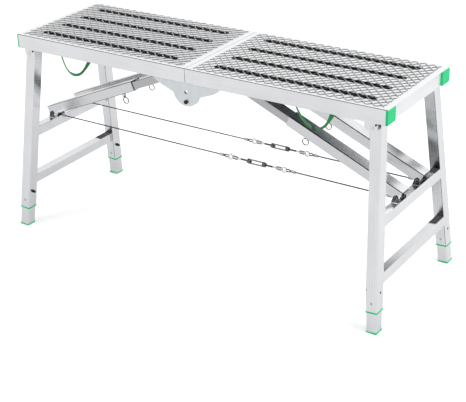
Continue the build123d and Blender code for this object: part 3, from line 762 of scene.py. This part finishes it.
# only the right strap shows its seam
seam = 1 - web.step(abs(run - seam_place), seam_half, seam_half + seam_blend)
seam = seam * (web.across(along_x) > 0)
web.set(Base_Color=web.mix(seam, web_colour, seam_colour), Roughness=0.72 + weave * 0.1)
web.surface.inputs["Sheen Weight"].default_value = 0.3
web.bump(weave, 0.0004, 0.7)
print("webbing finished")

# %% [markdown]
# ## Carrying straps
#
# Each strap is a length of flat webbing, held by both ends under the front rail. It hangs in a bow
# and twists, so that one limb shows its edge and the other its face. A cloth simulation would find
# such a bow by itself, but it is slow and its twist is hard to steer, so the bow is a power curve
# that leans to one side and the twist is eased along it.

# %% Section and twist of the straps
upper_half_section = [
    (0.0102, 0.0004), (0.0096, 0.0010), (0.005, 0.0009), (0.0, 0.0009), (-0.005, 0.0009),
    (-0.0096, 0.0010), (-0.0102, 0.0004),
]
strap_section = [(-a, -b) for a, b in upper_half_section] + upper_half_section


def eased(share, start, stop):
    """Goes smoothly from 0 to 1 between two shares of a length."""
    part = min(max((share - start) / (stop - start), 0.0), 1.0)
    return part * part * (3 - 2 * part)


def left_twist(share):
    """Nearly edge-on down the first limb, then opening up the second."""
    return radians(-54 + 51 * eased(share, 0.4, 0.75) - 7 * eased(share, 0.8, 1))


def right_twist(share):
    """As the left strap, but it turns its face back near both ends."""
    opening = 45 * eased(share, 0.4, 0.8)
    return radians(-46 - 9 * eased(share, 0, 0.4) + opening - 17 * eased(share, 0.8, 1))


print("strap section of", len(strap_section), "corners")

# %% Straps
twists = {"left": left_twist, "right": right_twist}
end_shifts = {"left": (0.005, 0.004), "right": (-0.003, 0.001)}
leans = {"left": 0.10, "right": -0.03}
bow_power, strap_steps = 2.3, 40
tucked_in, below_solid = 0.001, 0.0015
for side in sides:
    low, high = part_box(f"{side}_carry_strap")
    start, stop = low.x + end_shifts[side][0], high.x + end_shifts[side][1]
    drop = high.z - low.z + tucked_in + below_solid
    line = []
    for i in range(strap_steps + 1):
        share = 2 * i / strap_steps - 1
        lean = leans[side] * (1 - share ** 2)
        x = start + (stop - start) * (i / strap_steps - lean)
        z = high.z + tucked_in - drop * (1 - abs(share) ** bow_power)
        line.append((x, (low.y + high.y) / 2, z))
    strap = sweep(f"{side}_webbing_strap", line, strap_section, along_y, turned=twists[side])
    paint(web, strap)
    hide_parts(f"{side}_carry_strap")
    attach(strap, f"{side}_deck")
    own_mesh(strap)
    print(strap.name, "drop", round(drop, 3))

# %% [markdown]
# ## Wire rope
#
# A tie is six strands laid round each other. Six separate tubes would show the lay, but one tube
# with a six-lobed section, twisted as it goes, looks the same with far fewer faces. Its finish is
# oily steel, nearly black.

# %% Rope section and finish
rope_diameter = 0.004
lay_length = 0.024
strands, strand_bulge = 6, 0.10
rope = mottled_metal(
    "wire_rope", "wire_rope", 500.0, 3.0,
    ((0.02, 0.022, 0.024), (0.09, 0.093, 0.097)), 0.6, (0.36, 0.2),
)


def lobed_section(radius, corners=24):
    """A round section with one bulge for each strand."""
    section = []
    for i in range(corners):
        angle = 2 * pi * i / corners
        reach = radius * (1.0 + strand_bulge * cos(strands * angle))
        section.append((reach * cos(angle), reach * sin(angle)))
    return section


def straight_route(name, start, stop):
    """Points read from a smooth spline through the rope's two ends."""
    guide = bpy.data.curves.new(name, "CURVE")
    guide.dimensions = "3D"
    spline = guide.splines.new("NURBS")
    spline.points.add(4)
    for i, point in enumerate(spline.points):
        point.co = (*start.lerp(stop, i / 4), 1)
    spline.order_u = 3
    spline.use_endpoint_u = True
    spline.resolution_u = 40
    holder = bpy.data.objects.new(name, guide)
    bpy.context.collection.objects.link(holder)
    line = bpy.data.meshes.new_from_object(holder)
    points = [v.co.copy() for v in line.vertices]
    bpy.data.objects.remove(holder)
    bpy.data.meshes.remove(line)
    return points


print("rope of", rope_diameter, "with a lay of", lay_length)

# %% [markdown]
# ## Rope ends and safety links
#
# Every end of a tie is turned back in a loop and crimped in a sleeve, which the press leaves oval.
# A long dark link lies round each eye bolt and keeps it from unscrewing. All three are sweeps: the
# loop follows a teardrop, and the link a circle that is stretched and flattened at its long sides.

# %% Loop, sleeve and link
sleeve_radius, link_wire_radius = 0.0038, 0.0015
link_flatness = -0.35


def end_loop(name, throat, tip, width):
    """A rope turned back on itself from its sleeve: an upright teardrop from throat to tip."""
    line = []
    for i in range(25):
        angle = 2 * pi * i / 24
        reach = (1 - cos(angle)) / 2
        spread = sin(angle) * sin(angle / 2)
        line.append(throat + (tip - throat) * reach + Vector(along_z) * width * spread * 0.6)
    section = oval_section(rope_diameter * 0.5, rope_diameter * 0.5, 8)
    return sweep(name, line, section, (0, 1, 0.01))


def crimp(name, start, stop):
    """The pressed sleeve of a rope's end."""
    line = [start.lerp(stop, share) for share in (0, 0.08, 0.2, 0.5, 0.8, 0.92, 1)]
    section = oval_section(sleeve_radius * 1.35, sleeve_radius * 0.85, 12)
    return sweep(name, line, section, along_z)


def safety_link(name, middle, half_length, half_height):
    """A long closed link of dark wire that lies round the shank of an eye bolt."""
    line = []
    for i in range(32):
        angle = 2 * pi * i / 32
        swing = cos(angle)
        flattened = swing * abs(swing) ** link_flatness if abs(swing) > 1e-6 else 0.0
        line.append(middle + Vector((half_length * flattened, 0, half_height * sin(angle))))
    section = oval_section(link_wire_radius, link_wire_radius, 8)
    return sweep(name, line, section, (0, 1, 0.01), closed=True)


print("rope fittings ready")

# %% [markdown]
# ## Hanging the ties
#
# Each tie runs from a lug on the upper rung to an eye bolt, and it rides on the body of its own
# leg frame. On the right the turnbuckle comes along, and the loop and sleeve at the eye ride with
# it.

# %% Sizes of the ties
loop_length, sleeve_length, rope_into_sleeve = 0.021, 0.014, 0.004
loop_past_eye, loop_width = 0.0035, 0.009
hook_sleeve_start, hook_sleeve_end = 0.010, 0.024
link_from_middle, link_half_length, link_half_height = 0.084, 0.012, 0.0052

# %% Ties
for side, way in sides.items():
    for row in rows:
        name = f"{side}_{row}"
        low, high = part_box(f"{name}_tie_wire")
        y, z = (low.y + high.y) / 2, (low.z + high.z) / 2
        hook = Vector((high.x if way > 0 else low.x, y, z))
        eye = Vector((low.x if way > 0 else high.x, y, z))
        to_hook = (hook - eye).normalized()
        sleeve_start = eye + to_hook * (loop_length - rope_into_sleeve)
        rope_end = sleeve_start + to_hook * rope_into_sleeve
        route = straight_route(f"{name}_guide", hook, rope_end)
        length = (rope_end - hook).length
        turns = length / lay_length
        piece = sweep(
            f"{name}_rope", route, lobed_section(rope_diameter / 2), along_y,
            turned=lambda share, turns=turns: share * turns * 2 * pi,
        )
        paint(rope, piece)
        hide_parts(f"{name}_tie_wire")
        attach(piece, f"{side}_tie")
        eye_sleeve = crimp(
            f"{name}_eye_sleeve", sleeve_start, sleeve_start + to_hook * sleeve_length,
        )
        loop = end_loop(
            f"{name}_eye_loop", sleeve_start, eye - to_hook * loop_past_eye, loop_width,
        )
        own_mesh(piece)
        link_middle = Vector((turnbuckle_middle + way * link_from_middle, y, z))
        link = safety_link(f"{name}_safety_link", link_middle, link_half_length, link_half_height)
        paint(rope, link)
        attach(link, "turnbuckle_eyes")
        for fitting, finish in ((eye_sleeve, plated), (loop, rope)):
            paint(finish, fitting)
            if way > 0:
                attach(fitting, "turnbuckle_eyes")
            else:
                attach(fitting, f"{side}_tie")
                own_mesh(fitting)
        hook_sleeve = crimp(
            f"{name}_hook_sleeve", hook - to_hook * hook_sleeve_start,
            hook - to_hook * hook_sleeve_end,
        )
        paint(plated, hook_sleeve)
        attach(hook_sleeve, f"{side}_tie")

# %% [markdown]
# ## Floor
#
# The bench stands on a pale floor that runs out of sight. Such a floor throws so much light up that
# the undersides lose their shade. So it has three tones: white for the camera, pale for the
# reflections in the metal, and a dark grey for the light that it sends back to the bench.

# %% Flat cards and the floor
floor_reach = 30.0
grey_tone, pale_tone, white_tone = (0.16, 0.165, 0.17), (1.06, 1.06, 1.07), (1.45, 1.45, 1.45)


def flat_card(name, corner, wide, tall, finish):
    """A four-sided card of the studio, from one corner and its two edges."""
    corner, wide, tall = Vector(corner), Vector(wide), Vector(tall)
    mesh = bpy.data.meshes.new(name)
    corners = [corner, corner + wide, corner + wide + tall, corner + tall]
    mesh.from_pydata(corners, [], [(0, 1, 2, 3)])
    mesh.materials.append(finish.material)
    card = bpy.data.objects.new(name, mesh)
    bpy.context.collection.objects.link(card)
    print(name, "set up")
    return card


ground = Finish("pale_floor", "")
seen = ground.node("LightPath", out="Is Camera Ray")
mirrored = ground.node("LightPath", out="Is Glossy Ray")
floor_tone = ground.mix(seen, ground.mix(mirrored, grey_tone, pale_tone), white_tone)
ground.set(Base_Color=floor_tone, Roughness=0.9)
ground.surface.inputs["Specular IOR Level"].default_value = 0.0
flat_card(
    "studio_floor", (-floor_reach, -floor_reach, 0), (2 * floor_reach, 0, 0),
    (0, 2 * floor_reach, 0), ground,
)

# %% [markdown]
# ## World
#
# The room round the bench is white for the camera and for reflections, and lights the bench with
# less than that, so that white metal keeps some shade. The strength is one sum over two of the
# Light Path's outputs.

# %% World
lit_strength, seen_strength = 0.72, 1.0
room = bpy.data.worlds.new("white_room")
bpy.context.scene.world = room
room.use_nodes = True
air = NodeMaker(room.node_tree)
background = room.node_tree.nodes["Background"]
to_eye = air.node("LightPath", out="Is Camera Ray").most(air.node("LightPath", out="Is Glossy Ray"))
air.feed(background.inputs["Strength"], to_eye * (seen_strength - lit_strength) + lit_strength)
background.inputs["Color"].default_value = (1, 1, 1, 1)
print("world lights with", lit_strength)

# %% [markdown]
# ## Dark flags
#
# In an all-white room shiny metal has nothing to mirror and turns to paper. A studio stands black
# flags beside it, and dark paint on the metal itself would be wrong from every other side. The mat
# is painted shade: it lies on the floor under the bench where its shadow falls. The camera, the
# soft light and the shadows skip these two, and only reflections find them.

# %% Dark flags
felt_tones = (0.02, 0.022, 0.025), (0.04, 0.042, 0.045)
for name, corner, wide, tall in (
    ("low_rear_flag", (0.15, 0.28, 0.42), (0.47, 0, 0), (0, 0, 0.18)),
    # painted shade: the mat stands for the bench's shadow on the floor
    ("shadow_mat", (0.08, -0.5, 0.003), (0.40, 0, 0), (0, 0.42, 0)),
):
    felt = Finish(name, "")
    felt.set(Base_Color=felt.mix(felt.noise(40.0), *felt_tones), Roughness=1.0)
    flag = flat_card(name, corner, wide, tall, felt)
    flag.visible_camera = False
    flag.visible_diffuse = False
    flag.visible_shadow = False

# %% [markdown]
# ## Lamps
#
# Three large square lamps stay soft: one over the rear, one from the front left, and one at the
# right end that lights the end frame. They are aimed by turning each lamp's own axis at a point,
# which is simpler to change than three angles.

# %% Lamps
def soft_lamp(name, place, target, size, power):
    """A large square lamp that looks at a point."""
    lamp = bpy.data.lights.new(name, "AREA")
    lamp.size = size
    lamp.energy = power
    holder = bpy.data.objects.new(name, lamp)
    holder.location = place
    holder.rotation_euler = (Vector(target) - Vector(place)).to_track_quat("-Z", "Y").to_euler()
    bpy.context.collection.objects.link(holder)
    print(name, "at", place)


bench_middle, right_frame = (0, 0, 0.4), (0.7, 0, 0.5)
soft_lamp("sky_panel", (1.2, 2.2, 4.2), bench_middle, 3.0, 24)
soft_lamp("front_panel", (-2.5, -4.0, 2.5), bench_middle, 2.5, 30)
soft_lamp("right_panel", (3.6, 0.2, 1.6), right_frame, 2.0, 32)

# %% [markdown]
# ## Colour
#
# Standard colour shows each finish about as it is written.

# %% View
bpy.context.scene.view_settings.view_transform = "Standard"
print("view transform set")
